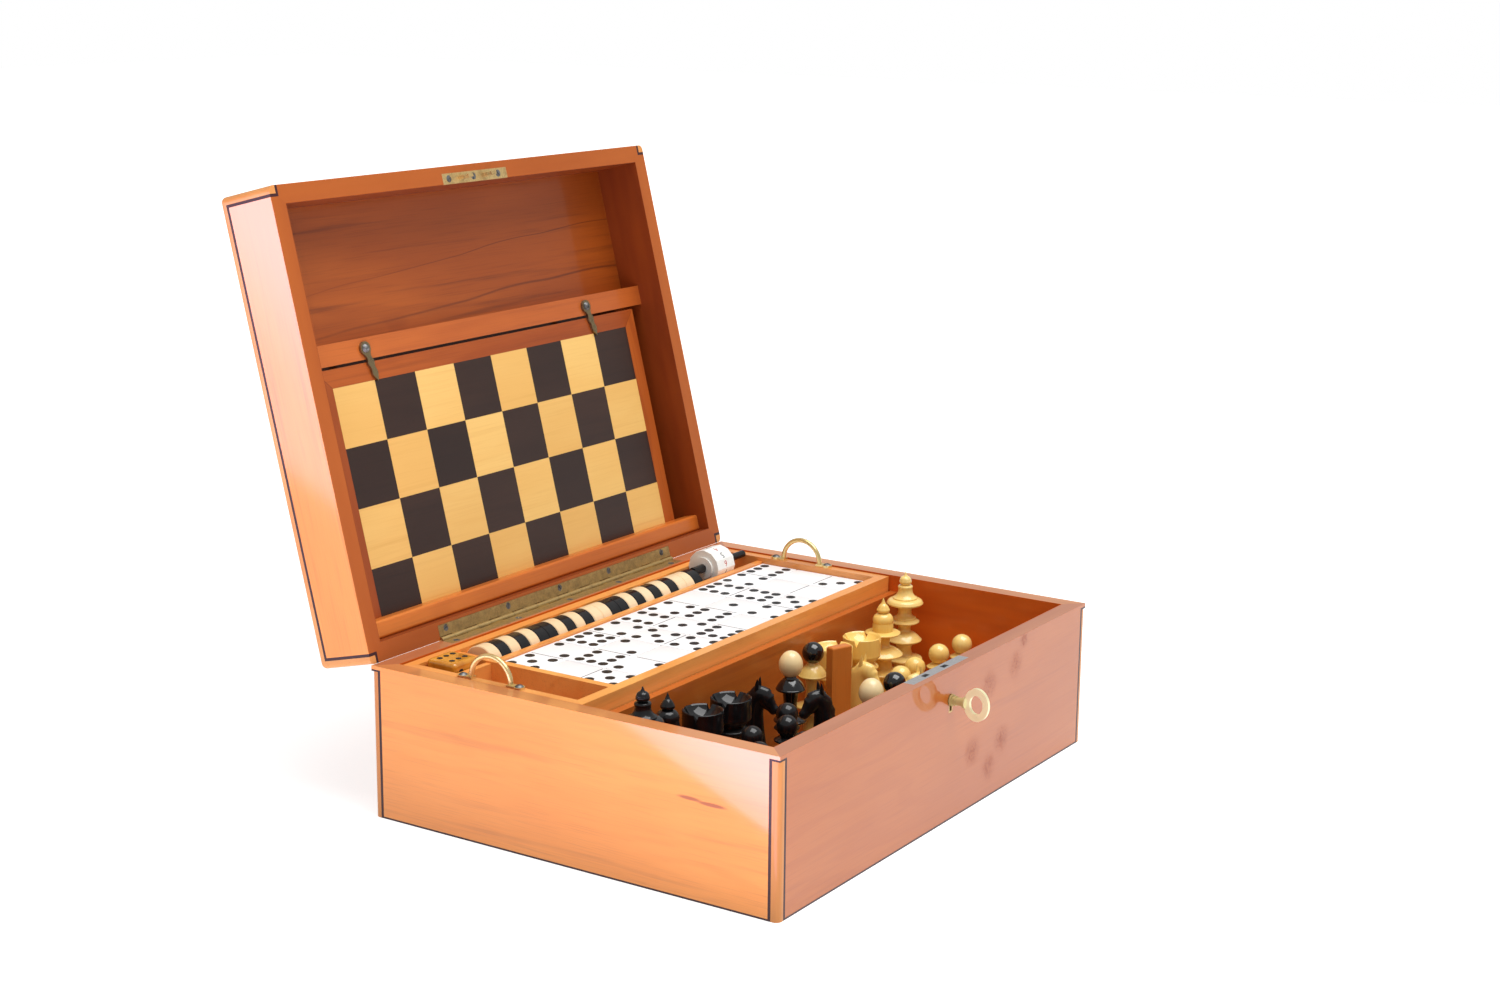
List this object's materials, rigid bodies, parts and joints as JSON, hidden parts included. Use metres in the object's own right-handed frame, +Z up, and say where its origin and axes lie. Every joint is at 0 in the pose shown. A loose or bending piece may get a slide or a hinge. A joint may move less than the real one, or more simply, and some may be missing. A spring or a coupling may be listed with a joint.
{
  "type": "games compendium box",
  "caption": "Hinged wooden games box standing open, with a folding board held in the lid, a lift-out tray of games and a bay of turned chess pieces.",
  "frame": {"origin": "centre of the box's underside, on the surface it stands on", "axes": "+X along the hinge, +Y towards the hinge at the back, -Y towards the lock and key, +Z up"},
  "size_m": [0.32, 0.365, 0.3221],
  "materials": {
    "case_wood": "polished shellac",
    "bead_wood": "polished shellac",
    "string_wood": "polished",
    "inner_wood": "polished",
    "fitting_wood": "polished",
    "base_wood": "polished",
    "aged_brass": "aged",
    "key_brass": "worn bright",
    "lock_steel": "worn",
    "screw_steel": "slotted, worn",
    "board_wood": "polished",
    "light_squares": "polished maple",
    "dark_squares": "polished",
    "tile_white": "polished, black filled pips",
    "boxwood": "polished",
    "ebonised": "gloss black",
    "amber": "polished",
    "spinner_white": "polished"
  },
  "bodies": {
    "box": {"box_front_wall": "case_wood", "box_back_wall": "case_wood", "box_end_walls": "case_wood", "box_bottom": "base_wood", "box_corner_beads": "bead_wood", "box_stringing": "string_wood", "compartment_wall": "inner_wood", "tray_runners": "inner_wood", "hinge_box_leaf": "aged_brass", "hinge_pin": "aged_brass", "hinge_box_screws": "screw_steel", "lock_case": "lock_steel", "lock_cover_plate": "lock_steel", "lock_screws": "screw_steel", "keyhole_liner": "aged_brass"},
    "lid": {"lid_front_wall": "case_wood", "lid_back_wall": "case_wood", "lid_end_walls": "case_wood", "lid_top_panel": "case_wood", "lid_beads": "bead_wood", "lid_stringing": "string_wood", "board_batten": "fitting_wood", "board_ledge": "fitting_wood", "hinge_lid_leaf": "aged_brass", "hinge_lid_screws": "screw_steel", "turn_button_screws": "screw_steel", "lid_link_plate": "aged_brass", "link_plate_screws": "screw_steel", "board_leaves": "board_wood", "board_light_squares": "light_squares", "board_dark_squares": "dark_squares"},
    "button_left": {"turn_button_left": "aged_brass"},
    "button_right": {"turn_button_right": "aged_brass"},
    "key_body": {"key": "key_brass"},
    "bolt": {"lock_bolt": "lock_steel"},
    "tray": {"tray_long_walls": "fitting_wood", "tray_end_walls": "fitting_wood", "tray_floor": "fitting_wood", "tray_dividers": "fitting_wood", "tray_handles": "aged_brass", "handle_screws": "screw_steel"},
    "domino_set": {"dominoes": "tile_white"},
    "draughts_roll": {"draughts_light": "boxwood", "draughts_dark": "ebonised"},
    "die_body": {"die": "amber"},
    "spinner": {"spinner_body": "spinner_white", "spinner_spindle": "ebonised"},
    "slat": {"chess_slat": "inner_wood"},
    "white_king_body": {"white_king": "boxwood"},
    "white_queen_body": {"white_queen": "boxwood"},
    "white_bishops_body": {"white_bishops": "boxwood"},
    "white_knights_body": {"white_knights": "boxwood"},
    "white_rooks_body": {"white_rooks": "boxwood"},
    "white_pawns_body": {"white_pawns": "boxwood"},
    "black_king_body": {"black_king": "ebonised"},
    "black_queen_body": {"black_queen": "ebonised"},
    "black_bishops_body": {"black_bishops": "ebonised"},
    "black_knights_body": {"black_knights": "ebonised"},
    "black_rooks_body": {"black_rooks": "ebonised"},
    "black_pawns_body": {"black_pawns": "ebonised"}
  },
  "joints": [
    {"name": "lid_hinge", "type": "hinge", "parent": "box", "child": "lid", "pos_m": [0, 0.124, 0.0816], "axis": [-1, 0, 0], "range_deg": [-104.1, 0]},
    {"name": "turn_button_left", "type": "hinge", "parent": "lid", "child": "button_left", "pos_m": [-0.0991, 0.17745, 0.23201], "axis": [0, 0.9699, -0.2436], "range_deg": [-90, 90]},
    {"name": "turn_button_right", "type": "hinge", "parent": "lid", "child": "button_right", "pos_m": [0.094, 0.17731, 0.23143], "axis": [0, 0.9699, -0.2436], "range_deg": [-90, 90]},
    {"name": "key_turn", "type": "hinge", "parent": "box", "child": "key_body", "pos_m": [0.0028, -0.12, 0.0658], "axis": [0, -1, 0], "range_deg": [0, 90]},
    {"name": "bolt_slide", "type": "slide", "parent": "box", "child": "bolt", "axis": [1, 0, 0], "range_m": [0, 0.003]},
    {"name": "tray_lift", "type": "slide", "parent": "box", "child": "tray", "axis": [0, 0, 1], "range_m": [0, 0.12]},
    {"name": "dominoes_lift", "type": "slide", "parent": "tray", "child": "domino_set", "axis": [0, 0, 1], "range_m": [0, 0.03]},
    {"name": "draughts_lift", "type": "slide", "parent": "tray", "child": "draughts_roll", "axis": [0, 0, 1], "range_m": [0, 0.04]},
    {"name": "die_lift", "type": "slide", "parent": "tray", "child": "die_body", "axis": [0, 0, 1], "range_m": [0, 0.04]},
    {"name": "spinner_lift", "type": "slide", "parent": "tray", "child": "spinner", "axis": [0, 0, 1], "range_m": [0, 0.04]},
    {"name": "slat_lift", "type": "slide", "parent": "box", "child": "slat", "axis": [0, 0, 1], "range_m": [0, 0.1]},
    {"name": "white_king_lift", "type": "slide", "parent": "box", "child": "white_king_body", "axis": [0, 0, 1], "range_m": [0, 0.1]},
    {"name": "white_queen_lift", "type": "slide", "parent": "box", "child": "white_queen_body", "axis": [0, 0, 1], "range_m": [0, 0.1]},
    {"name": "white_bishops_lift", "type": "slide", "parent": "box", "child": "white_bishops_body", "axis": [0, 0, 1], "range_m": [0, 0.1]},
    {"name": "white_knights_lift", "type": "slide", "parent": "box", "child": "white_knights_body", "axis": [0, 0, 1], "range_m": [0, 0.1]},
    {"name": "white_rooks_lift", "type": "slide", "parent": "box", "child": "white_rooks_body", "axis": [0, 0, 1], "range_m": [0, 0.1]},
    {"name": "white_pawns_lift", "type": "slide", "parent": "box", "child": "white_pawns_body", "axis": [0, 0, 1], "range_m": [0, 0.1]},
    {"name": "black_king_lift", "type": "slide", "parent": "box", "child": "black_king_body", "axis": [0, 0, 1], "range_m": [0, 0.1]},
    {"name": "black_queen_lift", "type": "slide", "parent": "box", "child": "black_queen_body", "axis": [0, 0, 1], "range_m": [0, 0.1]},
    {"name": "black_bishops_lift", "type": "slide", "parent": "box", "child": "black_bishops_body", "axis": [0, 0, 1], "range_m": [0, 0.1]},
    {"name": "black_knights_lift", "type": "slide", "parent": "box", "child": "black_knights_body", "axis": [0, 0, 1], "range_m": [0, 0.1]},
    {"name": "black_rooks_lift", "type": "slide", "parent": "box", "child": "black_rooks_body", "axis": [0, 0, 1], "range_m": [0, 0.1]},
    {"name": "black_pawns_lift", "type": "slide", "parent": "box", "child": "black_pawns_body", "axis": [0, 0, 1], "range_m": [0, 0.1]}
  ],
  "couplings": [
    {"joint": "bolt_slide", "follows": "key_turn", "m_per_rad": 0.0019099}
  ]
}
